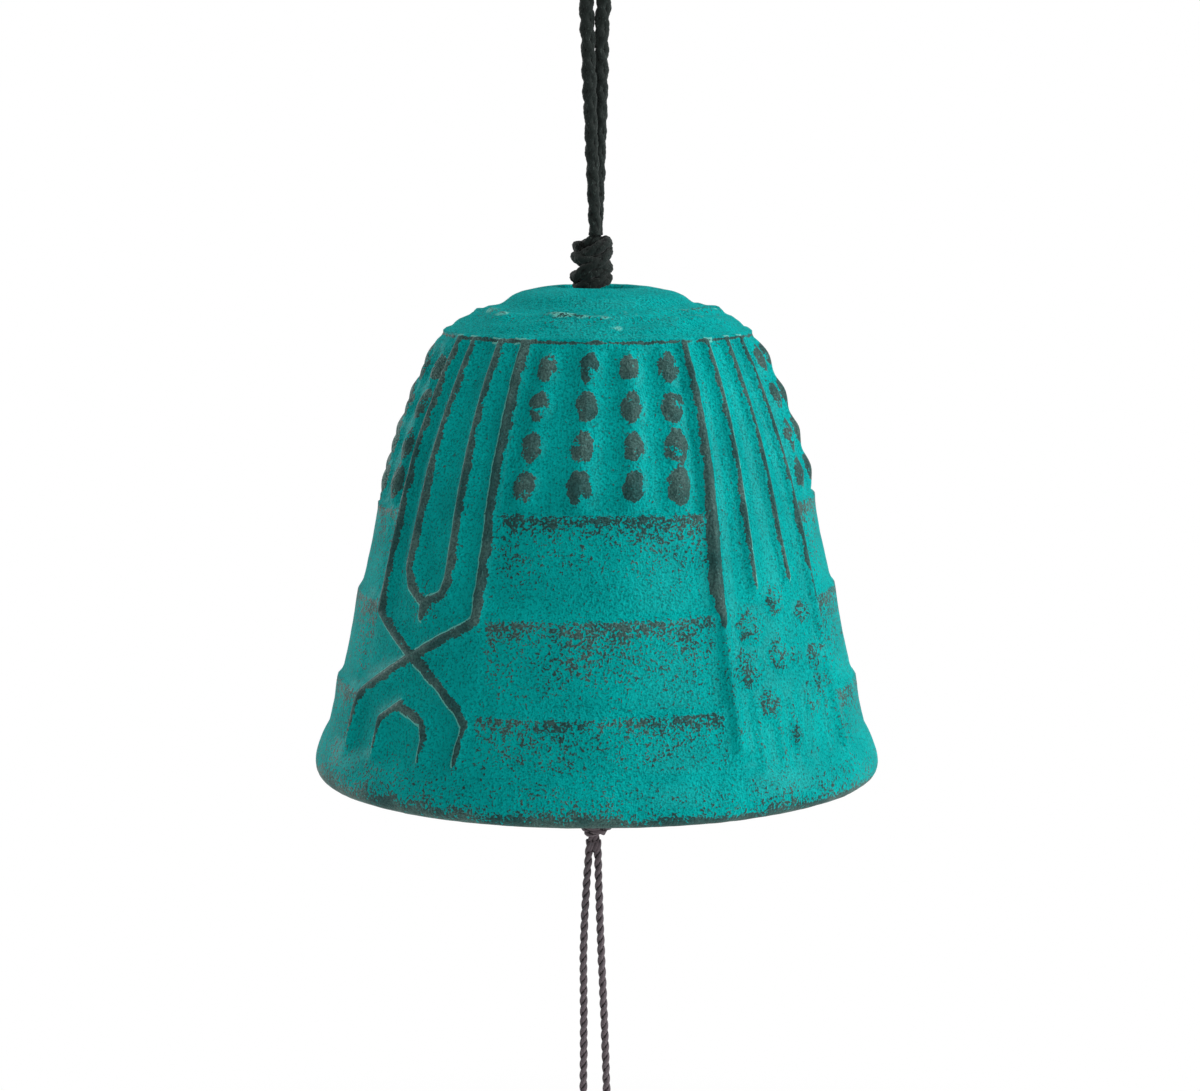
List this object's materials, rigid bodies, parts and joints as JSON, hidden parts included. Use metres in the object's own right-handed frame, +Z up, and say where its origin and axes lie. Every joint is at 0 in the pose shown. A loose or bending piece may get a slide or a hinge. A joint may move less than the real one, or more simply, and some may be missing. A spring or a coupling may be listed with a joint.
{
  "type": "furin wind bell",
  "caption": "Small cast-iron furin wind bell with bossed panels, hung on a braided loop, with a clapper and a paper wind strip on its lower cord",
  "frame": {"origin": "the point inside the top of the hanging loop where a hook or nail bears; the plane of the bell's mouth is 102 mm below it", "axes": "+Z up along the bell's axis, -Y towards the front of the bell as pictured, +X to its right; the paper strip hangs in the YZ plane"},
  "size_m": [0.066, 0.066, 0.2684],
  "materials": {
    "patinated_iron": "green patina, rubbed dark on the raised lines, bosses and ledges",
    "clapper_iron": "dark bare iron",
    "steel_bar": "plain drawn steel",
    "hanging_cord": "near-black green braided cord",
    "lower_cord": "dark brown two-ply twisted cord",
    "strip_paper": "stiff uncoated paper, plain"
  },
  "bodies": {
    "hanger": {"hanging_cord": "hanging_cord"},
    "knot": {"crown_knot": "hanging_cord"},
    "tie": {"crown_tie": "hanging_cord"},
    "bell": {"bell_shell": "patinated_iron", "cross_bar": "steel_bar", "bar_hitch": "lower_cord"},
    "hitch": {"hitch_knot": "lower_cord"},
    "clapper_string": {"clapper_cord": "lower_cord", "clapper_knot": "lower_cord"},
    "clapper_disc": {"clapper": "clapper_iron"},
    "strip_string": {"strip_cord": "lower_cord"},
    "wind_strip": {"paper_strip": "strip_paper"}
  },
  "joints": [
    {"name": "bell_turn", "type": "hinge", "parent": "hanger", "child": "knot", "pos_m": [0, 0, -0.0393], "axis": [0, 0, 1], "range_deg": [-180, 180]},
    {"name": "bell_sway", "type": "hinge", "parent": "knot", "child": "tie", "pos_m": [0, 0, -0.0459], "axis": [0, 1, 0], "range_deg": [-10, 10]},
    {"name": "bell_rock", "type": "hinge", "parent": "tie", "child": "bell", "pos_m": [0, 0, -0.0491], "axis": [1, 0, 0], "range_deg": [-10, 10]},
    {"name": "clapper_turn", "type": "hinge", "parent": "bell", "child": "hitch", "pos_m": [0, 0, -0.0531], "axis": [0, 0, 1], "continuous": true},
    {"name": "clapper_swing", "type": "hinge", "parent": "hitch", "child": "clapper_string", "pos_m": [0, 0, -0.057], "axis": [0, 1, 0], "range_deg": [-20.5, 20.5]},
    {"name": "clapper_spin", "type": "hinge", "parent": "clapper_string", "child": "clapper_disc", "pos_m": [0, 0, -0.106], "axis": [0, 0, 1], "continuous": true},
    {"name": "strip_swing", "type": "hinge", "parent": "clapper_string", "child": "strip_string", "pos_m": [0, 0, -0.1101], "axis": [1, 0, 0], "range_deg": [-35, 35]},
    {"name": "strip_pivot", "type": "hinge", "parent": "strip_string", "child": "wind_strip", "pos_m": [0, 0, -0.1535], "axis": [1, 0, 0], "range_deg": [-45, 45]}
  ]
}
